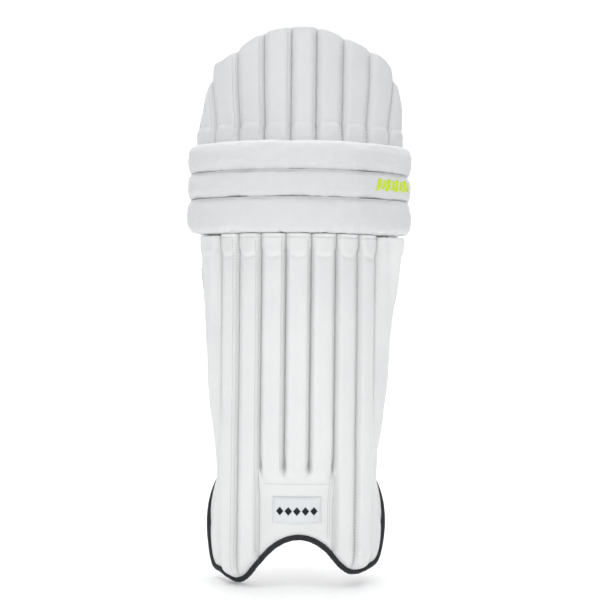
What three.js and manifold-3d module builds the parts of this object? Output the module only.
// A cricket batting leg pad: a stuffed shin section, three knee rolls that flex one on another, a ribbed
// top section over the thigh, two side wings that fold around the calf, and three touch-fastening straps.
//
// Millimetres, +Z up the leg, the front face towards -Y. The origin is on the axis of the leg that wears
// the pad, level with the lowest point of the inner (left) lobe.
//
// Every panel is built on one curved sheet, the shell: n is the distance out from it, away from the leg.
import * as THREE from "three";
import { mergeVertices } from "three/addons/utils/BufferGeometryUtils.js";
import Module from "manifold-3d";

const wasm = await Module();
wasm.setup();

// ---------------------------------------------------------------- driving dimensions

const SHELL_RADIUS = 138; // of the shell in plan
const LEG_TO_SHELL = 77; // from the leg's axis to the front of the shell
const SHELL_Y = SHELL_RADIUS - LEG_TO_SHELL; // the shell's own centre lies behind the leg's axis

const GAP = 0.4; // between touching pieces
const COVER = 2; // leathercloth face with its backing
const LINING = 2; // cloth behind the shell

const SHIN_TOP = 440.3; // where the shin section meets the lowest knee roll
const ROLL_SEAMS = [440.7, 483.6, 517, 553.3]; // heights of the four flex lines of the knee
const TOP_BOTTOM = 553.8;
const TOP_OF_PAD = 700;

const RIB_HEIGHT = 22; // of the stuffed ribs, under the cover
const THIGH_RIB_HEIGHT = 20;
const INSTEP_HEIGHT = 6; // of the flat instep panel
const INSTEP_TOP = 132; // where the three middle ribs end
const INSTEP_BLEND = 14;

const SHIN_SEAMS = [-39.2, -28.8, -17.4, -5.8, 5.8, 17.4, 28.8, 39.2]; // degrees round the shell
const TOP_SEAMS = [-58.5, -43.8, -29.2, -16.4, -4.2, 7.4, 19.8, 32.9, 46.6, 58.5];
const WING_SEAM = 39.2; // the wings hinge at the outer seams of the shin

const ROLL_HALF_ANGLE = 60;
const ROLL_DEPTH = 45; // of a knee roll, out from the shell
const CANE_RADIUS = 4;
const CANE_OUT = 11; // the canes' distance out from the shell

const PIPING_RADIUS = 2.6;
const STRAP_HALF_HEIGHT = 22;
const STRAP_THICKNESS = 2;
const STRAPS = {
  knee: { middle: 378, back: 84 },
  calf: { middle: 308, back: 82 },
  ankle: { middle: 238, back: 79 },
};

// ---------------------------------------------------------------- small helpers

const rad = THREE.MathUtils.degToRad;
const { lerp, smoothstep, clamp } = THREE.MathUtils;

// A smooth height along an outline, through [position, height] pairs.
function profile(pairs) {
  const curve = new THREE.CubicInterpolant(
    pairs.map((p) => p[0]),
    pairs.map((p) => p[1]),
    1,
  );
  const first = pairs[0][0];
  const last = pairs[pairs.length - 1][0];
  return (x) => curve.evaluate(clamp(x, first, last))[0];
}

const steps = (from, to, count) =>
  Array.from({ length: count + 1 }, (_, i) => lerp(from, to, i / count));
const counting = (from, to) => Array.from({ length: to - from + 1 }, (_, i) => from + i);

function signedVolume(geometry) {
  const p = geometry.attributes.position;
  const index = geometry.index.array;
  const [a, b, c] = [new THREE.Vector3(), new THREE.Vector3(), new THREE.Vector3()];
  let volume = 0;
  for (let i = 0; i < index.length; i += 3) {
    a.fromBufferAttribute(p, index[i]);
    b.fromBufferAttribute(p, index[i + 1]);
    c.fromBufferAttribute(p, index[i + 2]);
    volume += a.dot(b.cross(c)) / 6;
  }
  return volume;
}

// Turns a geometry's faces to point out.
function facingOut(geometry) {
  if (signedVolume(geometry) < 0) {
    const index = geometry.index.array;
    for (let i = 0; i < index.length; i += 3) {
      [index[i + 1], index[i + 2]] = [index[i + 2], index[i + 1]];
    }
  }
  return geometry;
}

// Moves every vertex of a geometry through place(), and closes it.
function shaped(geometry, place) {
  const position = geometry.attributes.position;
  const v = new THREE.Vector3();
  for (let i = 0; i < position.count; i++) {
    v.fromBufferAttribute(position, i);
    const to = place(v);
    position.setXYZ(i, to.x, to.y, to.z);
  }
  geometry.deleteAttribute("normal");
  geometry.deleteAttribute("uv");
  return facingOut(mergeVertices(geometry, 1e-3));
}

// A solid from a stack of loops. Each loop runs along one side of the solid and back along the other, so
// point i lies opposite point size - 1 - i, and the two sides are split along the same diagonals.
function loft(loops) {
  const size = loops[0].length;
  const top = (loops.length - 1) * size;
  const index = [];
  for (let row = 0; row < loops.length - 1; row++) {
    for (let i = 0; i < size; i++) {
      const a = row * size + i;
      const b = row * size + ((i + 1) % size);
      const [c, d] = [b + size, a + size];
      index.push(...(i < size / 2 ? [a, b, c, a, c, d] : [a, b, d, b, c, d]));
    }
  }
  for (let i = 0; i < size / 2 - 1; i++) {
    const opposite = size - 1 - i;
    index.push(i, opposite, opposite - 1, i, opposite - 1, i + 1);
    index.push(top + i, top + opposite - 1, top + opposite);
    index.push(top + i, top + i + 1, top + opposite - 1);
  }
  const geometry = new THREE.BufferGeometry().setFromPoints(loops.flat()).setIndex(index);
  return facingOut(geometry);
}

// A padded or thin sheet over a grid: place(u, v, side) puts side 0 (towards the leg) and side 1 (away
// from it) of each grid point.
function sheet(across, along, place) {
  return loft(
    along.map((v) => [
      ...across.map((u) => place(u, v, 0)),
      ...across.map((u) => place(u, v, 1)).reverse(),
    ]),
  );
}

// A round cord or tube along a list of points.
function cordAlong(points, radius, count, sides = 6) {
  const outline = new THREE.Shape(
    new THREE.EllipseCurve(0, 0, radius, radius).getPoints(sides).slice(0, sides),
  );
  const path = new THREE.CatmullRomCurve3(points);
  const cord = new THREE.ExtrudeGeometry(outline, { steps: count, extrudePath: path });
  return shaped(cord, (p) => p);
}

const solid = (geometry) =>
  new wasm.Manifold(
    new wasm.Mesh({
      numProp: 3,
      vertProperties: geometry.attributes.position.array,
      triVerts: new Uint32Array(geometry.index.array),
    }),
  );

function cut(geometry, tool) {
  const mesh = solid(geometry).subtract(solid(tool)).getMesh();
  return new THREE.BufferGeometry()
    .setAttribute("position", new THREE.BufferAttribute(mesh.vertProperties, 3))
    .setIndex(new THREE.BufferAttribute(mesh.triVerts, 1));
}

// ---------------------------------------------------------------- the shell

// A point at an angle round the shell, n out from it.
function onShell(degrees, n, z) {
  const r = SHELL_RADIUS + n;
  const a = rad(degrees);
  return new THREE.Vector3(r * Math.sin(a), SHELL_Y - r * Math.cos(a), z);
}

const degreesOf = (millimetres) => THREE.MathUtils.radToDeg(millimetres / SHELL_RADIUS);

// The scalloped bottom edge of the shin section: a long inner lobe on the left, the arch over the
// instep, and a shorter outer lobe on the right.
const shinBottom = profile([
  [-39.2, 12],
  [-35, 8.5],
  [-30, 6.5],
  [-26.5, 11],
  [-20.8, 28],
  [-11.5, 52],
  [-4, 62],
  [7, 62],
  [16.8, 47],
  [23.6, 28],
  [28, 19.5],
  [33, 17.5],
  [39.2, 20],
]);

// The arched top edge of the thigh section, a little lower on the left, dipping at each seam.
const archHeight = profile([
  [-58.5, 570],
  [-56, 582],
  [-53, 600],
  [-50, 624],
  [-46.6, 650],
  [-38, 665],
  [-30, 676],
  [-17, 693],
  [-5, 699],
  [2, TOP_OF_PAD],
  [9, 698],
  [20, 689],
  [28, 682],
  [36.5, 675],
  [45, 664],
  [49.5, 653],
  [53, 636],
  [56, 613],
  [58.5, 582],
]);
const SEAM_DIP = 3;

// A rib's section, as [share of its width, share of its height]: the inside and the outside of its cover,
// and its filling.
const RIB_INSIDE = [
  [0, 0],
  [0.12, 0],
  [0.25, 0.85],
  [0.5, 1],
  [0.75, 0.85],
  [0.88, 0],
  [1, 0],
];
const RIB_OUTSIDE = [
  [0, 0],
  [0.05, 0],
  [0.19, 0.87],
  [0.5, 1],
  [0.81, 0.87],
  [0.95, 0],
  [1, 0],
];
const RIB_FILLING = [
  [0.165, 0.1],
  [0.275, 0.84],
  [0.5, 1],
  [0.725, 0.84],
  [0.835, 0.1],
];

// The columns of a row of ribs: which rib each is in, its angle, and its share of the rib's height.
function ribColumns(seams, section) {
  return seams.slice(0, -1).flatMap((left, rib) =>
    section.slice(rib ? 1 : 0).map(([share, height]) => ({
      rib,
      height,
      degrees: lerp(left, seams[rib + 1], share),
    })),
  );
}

// The two faces of a ribbed cover do not share their columns, so each is placed by its own.
function ribbedCover(seams, rows, place) {
  const inside = ribColumns(seams, RIB_INSIDE);
  const outside = ribColumns(seams, RIB_OUTSIDE);
  return sheet(counting(0, inside.length - 1), rows, (k, row, side) =>
    place(side ? outside[k] : inside[k], row, side * COVER),
  );
}

// ---------------------------------------------------------------- the shin section

const EDGE_HEIGHT = 1.5; // of the filling at a bound edge
const EDGE_TAPER = 26; // over which the ribs rise from it

const isMiddle = (rib) => rib >= 2 && rib <= 4;

// How far out the underside of the shin's cover stands.
function shinHeight(rib, height, degrees, z) {
  const above = z - shinBottom(degrees);
  const rise = smoothstep(above, 0, EDGE_TAPER);
  const flat = Math.abs(degrees) < 17.3 ? INSTEP_HEIGHT : 0;
  const ribbed = isMiddle(rib) ? smoothstep(z, INSTEP_TOP, INSTEP_TOP + INSTEP_BLEND) : 1;
  const full = lerp(flat, height * RIB_HEIGHT, ribbed);
  return Math.min(full, lerp(EDGE_HEIGHT, Math.max(full, EDGE_HEIGHT), rise));
}

// Rows from the bottom edge up: the first few follow the edge, the rest are level.
function shinRow(row, degrees) {
  const bottom = shinBottom(degrees);
  return [
    bottom,
    bottom + 6,
    bottom + 14,
    bottom + EDGE_TAPER,
    INSTEP_TOP,
    INSTEP_TOP + INSTEP_BLEND / 2,
    INSTEP_TOP + INSTEP_BLEND,
    SHIN_TOP,
  ][row];
}
const SHIN_EDGE = WING_SEAM - degreesOf(0.5); // just clear of the wings at their hinge lines

function shinCover() {
  return ribbedCover(SHIN_SEAMS, counting(0, 7), (column, row, out) => {
    const degrees = clamp(column.degrees, -SHIN_EDGE, SHIN_EDGE);
    const z = shinRow(row, degrees);
    return onShell(degrees, shinHeight(column.rib, column.height, degrees, z) + out, z);
  });
}

function shinLining() {
  return sheet(steps(-SHIN_EDGE, SHIN_EDGE, 28), [0, 3, 7], (degrees, row, side) =>
    onShell(degrees, side ? -GAP : -GAP - LINING, shinRow(row, degrees)),
  );
}

// The filling of one channel. The middle three end above the instep panel, the rest at the bottom edge.
function shinFilling(rib) {
  const columns = ribColumns(SHIN_SEAMS.slice(rib, rib + 2), RIB_FILLING);
  const rows = isMiddle(rib) ? [6, 7] : [2, 3, 7];
  return sheet(columns, rows, ({ degrees, height }, row, side) => {
    const z = clamp(shinRow(row, degrees), 0, SHIN_TOP - 1);
    return onShell(degrees, side ? shinHeight(rib, height, degrees, z) - GAP : GAP, z);
  });
}

function upright(radius, degrees, n, from, to) {
  const rod = new THREE.CylinderGeometry(radius, radius, to - from, 8);
  const at = onShell(degrees, n, (from + to) / 2);
  return shaped(rod, (p) => new THREE.Vector3(at.x + p.x, at.y + p.z, at.z + p.y));
}

const middleOf = (rib) => (SHIN_SEAMS[rib] + SHIN_SEAMS[rib + 1]) / 2;
const caneFrom = (rib) => (isMiddle(rib) ? INSTEP_TOP + INSTEP_BLEND : shinBottom(middleOf(rib))) + 32;

function caneRod(rib) {
  return upright(CANE_RADIUS, middleOf(rib), CANE_OUT, caneFrom(rib), SHIN_TOP - 6);
}

// The filling round a cane: the bore opens at the top, where the cane is pushed in.
function boredCore(rib) {
  const [from, to] = [caneFrom(rib) - GAP, SHIN_TOP + 5];
  return cut(shinFilling(rib), upright(CANE_RADIUS + GAP, middleOf(rib), CANE_OUT, from, to));
}

function instepPad() {
  return sheet(steps(-15.4, 15.4, 8), [1, 2, 3, 4], (degrees, row, side) => {
    const z = shinRow(row, degrees);
    return onShell(degrees, side ? shinHeight(3, 0, degrees, z) - 1.5 * GAP : GAP, z);
  });
}

function labelPatch() {
  const out = INSTEP_HEIGHT + COVER + 0.6;
  return sheet(steps(-12.1, 12.9, 4), [80, 113], (degrees, z, side) =>
    onShell(degrees, side ? out + 1.2 : out, z),
  );
}

// Corded binding along the shin's bottom edge, just clear of the cloth.
function bottomBinding() {
  const away = PIPING_RADIUS + 0.8;
  const ends = SHIN_EDGE - 2;
  const points = steps(-ends, ends, 30).map((degrees) => {
    const step = degreesOf(1);
    const slope = (shinBottom(degrees + step) - shinBottom(degrees - step)) / 2;
    const length = Math.hypot(1, slope);
    const aside = degreesOf((slope * away) / length);
    return onShell(degrees + aside, 0.5, shinBottom(degrees) - away / length);
  });
  return cordAlong(points, PIPING_RADIUS, 40);
}

// ---------------------------------------------------------------- padding behind the shin

// A stuffed bolster behind the lining: flat against it, crowned towards the leg.
function bolster(across, bottom, top, thickness) {
  return sheet(across, [0, 0.08, 0.5, 0.92, 1], (degrees, v, side) => {
    const middle = (across[0] + across[across.length - 1]) / 2;
    const half = (across[across.length - 1] - across[0]) / 2;
    const crown = 1 - 0.45 * ((degrees - middle) / half) ** 2;
    const end = v < 0.05 || v > 0.95 ? 0.45 : 1;
    const near = -LINING - 2 * GAP;
    return onShell(degrees, side ? near : near - thickness * crown * end, lerp(bottom, top, v));
  });
}

// The cushion across the top of the shin, with a flat face that the leg rests against.
const REST_FACE_Y = -56;
function kneeBolster() {
  return sheet(steps(-21, 21, 6), [413, 437], (degrees, z, side) => {
    const point = onShell(degrees, -LINING - 2 * GAP, z);
    if (!side) point.y = REST_FACE_Y;
    return point;
  });
}

// A lens-shaped cushion behind the middle knee roll. It touches only that roll, so that the others can
// tip over its edges.
function kneeCup() {
  const [low, high] = [ROLL_SEAMS[1], ROLL_SEAMS[2]];
  const middle = (low + high) / 2;
  return sheet(steps(-26, 26, 8), steps(-36, 36, 6), (degrees, up, side) => {
    const rim = (up / 36) ** 2 * 0.6 + (degrees / 26) ** 2 * 0.4;
    const front = -0.9 - 9 * (up / 36) ** 2;
    return onShell(degrees, side ? front : -16 + 5 * rim, middle + up);
  });
}

// ---------------------------------------------------------------- the knee rolls

// Half of a knee roll's section, as [share of its depth, share of its half-height].
const ROLL_SECTION = [
  [0, 1],
  [0.5, 1],
  [0.8, 0.85],
  [0.95, 0.5],
  [1, 0.12],
];

// A knee roll bent round the shell, tapering towards its ends.
function bentRoll(low, high, inset, ends) {
  const middle = (low + high) / 2;
  const half = (high - low - GAP) / 2 - inset;
  const stations = [-ends, ...steps(-54, -45, 2), ...steps(-36, 36, 8), ...steps(45, 54, 2), ends];
  return loft(
    stations.map((degrees) => {
      const taper = lerp(0.62, 1, smoothstep(ROLL_HALF_ANGLE - Math.abs(degrees), -1, 12));
      const edge = (share) => clamp(share * ROLL_DEPTH, inset, ROLL_DEPTH - inset) * taper;
      const upper = ROLL_SECTION.map(([x, y]) => onShell(degrees, edge(x), middle + y * half));
      const lower = ROLL_SECTION.map(([x, y]) => onShell(degrees, edge(x), middle - y * half));
      return [...upper, ...lower.reverse()];
    }),
  );
}

// The cover wraps all round the filling, and is left open along its back, where the filling goes in.
function rollCover(low, high) {
  const middle = (low + high) / 2;
  const inside = bentRoll(low, high, COVER, ROLL_HALF_ANGLE - 0.8);
  const opening = sheet(steps(-50, 50, 12), [middle - 2, middle + 2], (degrees, z, side) =>
    onShell(degrees, side ? COVER + 2 : -COVER, z),
  );
  return cut(cut(bentRoll(low, high, 0, ROLL_HALF_ANGLE), inside), opening);
}

const rollFilling = (low, high) => bentRoll(low, high, COVER + 1.5 * GAP, ROLL_HALF_ANGLE - 1.2);

// ---------------------------------------------------------------- the thigh section

const TOP_TAPER = 14;

// The seams fan out towards the top: how far each angle has moved sideways there.
const topFan = profile([
  [-58.5, 0],
  [-43.8, -3.6],
  [-29.2, -1.8],
  [-16.4, -0.8],
  [-4.2, 0],
  [7.4, 0],
  [19.8, 0.4],
  [32.9, 1.6],
  [46.6, 4.2],
  [58.5, 0],
]);
const fanned = (degrees, z) => degrees + topFan(degrees) * smoothstep(z, TOP_BOTTOM + 6, 650);
const onTop = (degrees, n, z) => onShell(fanned(degrees, z), n, z);

// The height of the top edge, in a rib of this height, where the seams fan out.
function topEdge(degrees, height) {
  let z = archHeight(degrees);
  for (let i = 0; i < 6; i++) z = archHeight(fanned(degrees, z));
  return z - SEAM_DIP * (1 - height);
}

function topHeight(height, below) {
  const full = height * THIGH_RIB_HEIGHT;
  const rise = smoothstep(below, 0, TOP_TAPER);
  return Math.min(full, lerp(EDGE_HEIGHT, Math.max(full, EDGE_HEIGHT), rise));
}

// The height of a row that lies some way below the top edge, closer to it where the section is short.
function topRow(edge, below) {
  return edge - below * Math.min(1, (0.6 * (edge - TOP_BOTTOM)) / TOP_TAPER);
}

function topCover() {
  return ribbedCover(TOP_SEAMS, [null, TOP_TAPER, 5, 0], (column, below, out) => {
    const edge = topEdge(column.degrees, column.height);
    const z = below === null ? TOP_BOTTOM : topRow(edge, below);
    return onTop(column.degrees, topHeight(column.height, edge - z) + out, z);
  });
}

function topLining() {
  const span = TOP_SEAMS[TOP_SEAMS.length - 1];
  return sheet(steps(-span, span, 26), [0, 1], (degrees, v, side) =>
    onShell(degrees, side ? -GAP : -GAP - LINING, lerp(TOP_BOTTOM, archHeight(degrees) - SEAM_DIP, v)),
  );
}

function topFilling(rib) {
  const columns = ribColumns(TOP_SEAMS.slice(rib, rib + 2), RIB_FILLING);
  return sheet(columns, [null, TOP_TAPER, 5], ({ degrees, height }, below, side) => {
    const edge = topEdge(degrees, height);
    const z = below === null ? TOP_BOTTOM + 1 : topRow(edge, below);
    return onTop(degrees, side ? topHeight(height, edge - z) - 3.5 * GAP : GAP, z);
  });
}

// ---------------------------------------------------------------- the wings

// A wing is drawn as the right one: w runs back round the leg from the hinge line, and the left wing is
// its mirror image. width is the whole wing's.
const WINGS = {
  left: {
    mirror: -1,
    width: 86,
    bottom: profile([
      [0, 12],
      [8, 15],
      [19, 20],
      [24, 32],
      [31, 66],
      [39, 98],
      [48, 122],
      [64, 152],
      [86, 190],
    ]),
  },
  right: {
    mirror: 1,
    width: 96,
    bottom: profile([
      [0, 20],
      [8, 22],
      [18, 28],
      [24, 40],
      [31, 68],
      [39, 98],
      [49, 122],
      [68, 150],
      [96, 190],
    ]),
  },
};
const WING_TOP = 438;
const WING_RIB = 30; // width of the side rib, the wing's first channel
const FLAP_HEIGHT = 10; // of the flap's filling
const FLAP_SEAM = 3; // and at its seams and edge

// How far the wing turns in at its hinge line: hardly at the top and at the foot, most above the ankle.
function turnIn(z) {
  const upper = 44 * (1 - smoothstep(z, 180, 430));
  return upper * smoothstep(z, 50, 175);
}

// The way that the sheet runs, in degrees from straight across, w along the wing.
function heading(w, z) {
  const flap = lerp(15, 46, smoothstep(z, 180, 430));
  return (
    WING_SEAM +
    turnIn(z) * smoothstep(w, -1, 7) +
    12.6 * clamp(w / WING_RIB, 0, 1) +
    flap * smoothstep(w, WING_RIB - 4, WING_RIB + 34)
  );
}

function onWing(wing, w, n, z) {
  const start = onShell(WING_SEAM, 0, z);
  const count = Math.max(1, Math.ceil(Math.abs(w) / 1.5));
  let { x, y } = start;
  for (let i = 0; i < count; i++) {
    const a = rad(heading(((i + 0.5) * w) / count, z));
    x += (Math.cos(a) * w) / count;
    y += (Math.sin(a) * w) / count;
  }
  const a = rad(heading(w, z));
  return new THREE.Vector3(wing.mirror * (x + n * Math.sin(a)), y - n * Math.cos(a), z);
}

// The height of the filling at each column across the wing: the side rib, then two flap channels. Both
// thin out below the calf.
function wingColumns({ width }) {
  const half = (width - WING_RIB) / 2;
  return [
    [0.5, 0],
    [4, 0],
    [10, 0.82 * RIB_HEIGHT],
    [WING_RIB / 2, RIB_HEIGHT],
    [WING_RIB - 8, 0.85 * RIB_HEIGHT],
    [WING_RIB, FLAP_SEAM],
    [WING_RIB + 6, FLAP_HEIGHT],
    [WING_RIB + half / 2, FLAP_HEIGHT],
    [WING_RIB + half - 6, FLAP_HEIGHT],
    [WING_RIB + half, FLAP_HEIGHT - 3],
    [WING_RIB + half + 6, FLAP_HEIGHT],
    [WING_RIB + 1.5 * half, FLAP_HEIGHT],
    [width - 8, FLAP_HEIGHT],
    [width, FLAP_SEAM],
  ];
}

const wingTopEdge = (wing, w) => WING_TOP - 18 * smoothstep(w, wing.width - 26, wing.width);

// Rows up the wing. The level ones are the edges of the straps, so that the straps' own faces follow it.
const LEVELS = Object.values(STRAPS)
  .flatMap((strap) => [strap.middle - STRAP_HALF_HEIGHT, strap.middle + STRAP_HALF_HEIGHT])
  .sort((a, b) => a - b);

function wingRows(wing, w) {
  const low = wing.bottom(w);
  const high = wingTopEdge(wing, w);
  return [low, low + 8, low + 20, (low + 20 + LEVELS[0]) / 2, ...LEVELS, high - 6, high];
}
const LAST_ROW = LEVELS.length + 5;

function wingHeight(full, w, row, z) {
  const fullness =
    w < WING_RIB ? lerp(0.2, 1, smoothstep(z, 90, 275)) : lerp(0.3, 1, smoothstep(z, 100, LEVELS[0]));
  const height = full * fullness;
  if (row === 0 || row === LAST_ROW) return Math.min(height, EDGE_HEIGHT);
  return row === 1 ? Math.min(height, 0.6 * height + EDGE_HEIGHT) : height;
}

function wingLayer(wing, columns, rows, place) {
  return sheet(columns, rows, ([w, full], row, side) => {
    const z = wingRows(wing, w)[row];
    return onWing(wing, w, place(wingHeight(full, w, row, z), side), z);
  });
}

const wingCover = (wing) =>
  wingLayer(wing, wingColumns(wing), counting(0, LAST_ROW), (height, side) => height + side * COVER);

const wingLining = (wing) =>
  wingLayer(wing, wingColumns(wing), counting(0, LAST_ROW), (height, side) =>
    side ? -GAP : -GAP - LINING,
  );

// The wing's one piece of filling: a thick roll in the side rib, and a thin sheet behind it. It stops
// short of the foot, where the wing is cloth only.
function wingFoam(wing) {
  const columns = wingColumns(wing).slice(2, -1);
  columns[0] = [11.5, 0.8 * RIB_HEIGHT];
  columns[2] = [WING_RIB - 9.5, 0.85 * RIB_HEIGHT];
  return wingLayer(wing, columns, counting(3, LAST_ROW - 1), (height, side) =>
    side ? height - 2.5 * GAP : 2 * GAP,
  );
}

// The wing's outline from the hinge line along the bottom, up the back edge and round the top corner,
// moved out by the binding's radius.
function wingBinding(wing) {
  const away = PIPING_RADIUS + 1.6;
  const low = wing.bottom(wing.width);
  const high = wingTopEdge(wing, wing.width);
  const outline = [
    ...steps(2, wing.width, 16).map((w) => [w, wing.bottom(w)]),
    ...steps(low + 30, high - 30, 6).map((z) => [wing.width, z]),
    ...steps(wing.width, wing.width - 26, 5).map((w) => [w, wingTopEdge(wing, w)]),
  ];
  const points = outline.map(([w, z], i) => {
    const before = outline[Math.max(i - 1, 0)];
    const after = outline[Math.min(i + 1, outline.length - 1)];
    const along = new THREE.Vector2(after[0] - before[0], after[1] - before[1]).normalize();
    return onWing(wing, w + along.y * away, 1, z - along.x * away);
  });
  return cordAlong(points, PIPING_RADIUS, 40);
}

// ---------------------------------------------------------------- the straps

const FACE = FLAP_HEIGHT + COVER; // out from the shell to the flap's face
const ANCHOR_OUT = FACE + GAP;
const LOOP_OUT = FACE + GAP;
const HOOK_OUT = LOOP_OUT + 1.4 + GAP;
const STRAP_OUT = HOOK_OUT + 1.2 + GAP;

const edgesOf = ({ middle }) => [middle - STRAP_HALF_HEIGHT, middle + STRAP_HALF_HEIGHT];

// A flat piece on a wing's face, between two of the wing's own columns.
function patch(wing, strap, from, to, n, thickness) {
  const columns = wingColumns(wing).slice(from, to + 1);
  return sheet(columns, edgesOf(strap), ([w], z, side) =>
    onWing(wing, w, side ? n + thickness : n, z),
  );
}

const loopPatch = (strap) => patch(WINGS.right, strap, 7, 12, LOOP_OUT, 1.4);
const hookPad = (strap) => patch(WINGS.right, strap, 8, 12, HOOK_OUT, 1.2);

// A strap folds on an upright line just behind the left wing's back edge, this far along and out.
const FOLD_ALONG = 10;
const FOLD_OUT = 8;

function atFold(strap, along, n, z) {
  const fold = onWing(WINGS.left, WINGS.left.width + FOLD_ALONG + along, n, strap.middle);
  return fold.setZ(z);
}

// The end of the strap that is sewn to the left wing's face, as far as the fold.
function strapAnchor(strap) {
  const columns = wingColumns(WINGS.left).slice(9).map(([w]) => w);
  return sheet([...columns, "fold"], edgesOf(strap), (w, z, side) => {
    const out = side * STRAP_THICKNESS;
    return w === "fold"
      ? atFold(strap, -0.25, FOLD_OUT + out, z)
      : onWing(WINGS.left, w, ANCHOR_OUT + out, z);
  });
}

// The strap itself: from the fold it runs round behind the calf and forward over the right wing.
function strapBand(strap) {
  const { right } = WINGS;
  const over = wingColumns(right).slice(7, 13).map(([w]) => w);
  const behind = steps(1, 0, 20);
  return sheet([...over, ...behind], edgesOf(strap), (u, z, side) => {
    if (u > 1) return onWing(right, u, STRAP_OUT + side * STRAP_THICKNESS, z);
    const inside = new THREE.CatmullRomCurve3(
      [
        atFold(strap, 0.25, FOLD_OUT, z),
        atFold(strap, 16, 4, z),
        new THREE.Vector3(0, strap.back, z),
        onWing(right, right.width + 26, 6, z),
        onWing(right, right.width + 3, STRAP_OUT, z),
        onWing(right, over[over.length - 1] + 1, STRAP_OUT, z),
      ],
      false,
      "centripetal",
    );
    const along = inside.getTangent(u);
    const out = new THREE.Vector3(-along.y, along.x, 0).normalize();
    return inside.getPoint(u).addScaledVector(out, side * STRAP_THICKNESS);
  });
}

// ---------------------------------------------------------------- materials and assembly

const COLOURS = {
  leathercloth: [0xe6e7e7, 0.48],
  roll_leathercloth: [0xdfe0e1, 0.46],
  lining_cloth: [0xdcdddc, 0.9],
  foam: [0xd9d3c3, 0.95],
  cane: [0xc9a66b, 0.6],
  binding: [0x1f2124, 0.55],
  strap_webbing: [0xe4e4e2, 0.85],
  hook_tape: [0xd8d8d6, 0.95],
  loop_tape: [0xe0e0de, 0.98],
  label_cloth: [0xf1f3f4, 0.6],
};

const pad = new THREE.Group();

function add(name, geometry, finish) {
  const [color, roughness] = COLOURS[finish];
  const material = new THREE.MeshStandardMaterial({ color, roughness, metalness: 0 });
  geometry.computeVertexNormals();
  const mesh = new THREE.Mesh(geometry, material);
  mesh.name = name;
  pad.add(mesh);
}

add("shin_cover", shinCover(), "leathercloth");
add("shin_lining", shinLining(), "lining_cloth");
for (let rib = 0; rib < SHIN_SEAMS.length - 1; rib++) {
  add(`shin_core_${rib + 1}`, boredCore(rib), "foam");
  add(`cane_rod_${rib + 1}`, caneRod(rib), "cane");
}
add("instep_pad", instepPad(), "foam");
add("label_patch", labelPatch(), "label_cloth");
add("bottom_binding", bottomBinding(), "binding");
add("shin_bolster_left", bolster(steps(-20, -5, 4), 122, 410, 17), "lining_cloth");
add("shin_bolster_right", bolster(steps(5, 20, 4), 122, 410, 17), "lining_cloth");
add("knee_bolster", kneeBolster(), "lining_cloth");

["lower", "middle", "upper"].forEach((name, i) => {
  const [low, high] = [ROLL_SEAMS[i], ROLL_SEAMS[i + 1]];
  add(`knee_roll_cover_${name}`, rollCover(low, high), "roll_leathercloth");
  add(`knee_roll_foam_${name}`, rollFilling(low, high), "foam");
});
add("knee_cup", kneeCup(), "lining_cloth");

add("top_cover", topCover(), "leathercloth");
add("top_lining", topLining(), "lining_cloth");
for (let rib = 0; rib < TOP_SEAMS.length - 1; rib++) {
  add(`top_core_${rib + 1}`, topFilling(rib), "foam");
}

for (const [side, wing] of Object.entries(WINGS)) {
  add(`wing_cover_${side}`, wingCover(wing), "leathercloth");
  add(`wing_foam_${side}`, wingFoam(wing), "foam");
  add(`wing_lining_${side}`, wingLining(wing), "lining_cloth");
  add(`wing_binding_${side}`, wingBinding(wing), "binding");
}

for (const [place, strap] of Object.entries(STRAPS)) {
  add(`strap_anchor_${place}`, strapAnchor(strap), "strap_webbing");
  add(`strap_band_${place}`, strapBand(strap), "strap_webbing");
  add(`hook_pad_${place}`, hookPad(strap), "hook_tape");
  add(`loop_patch_${place}`, loopPatch(strap), "loop_tape");
}

export default pad;
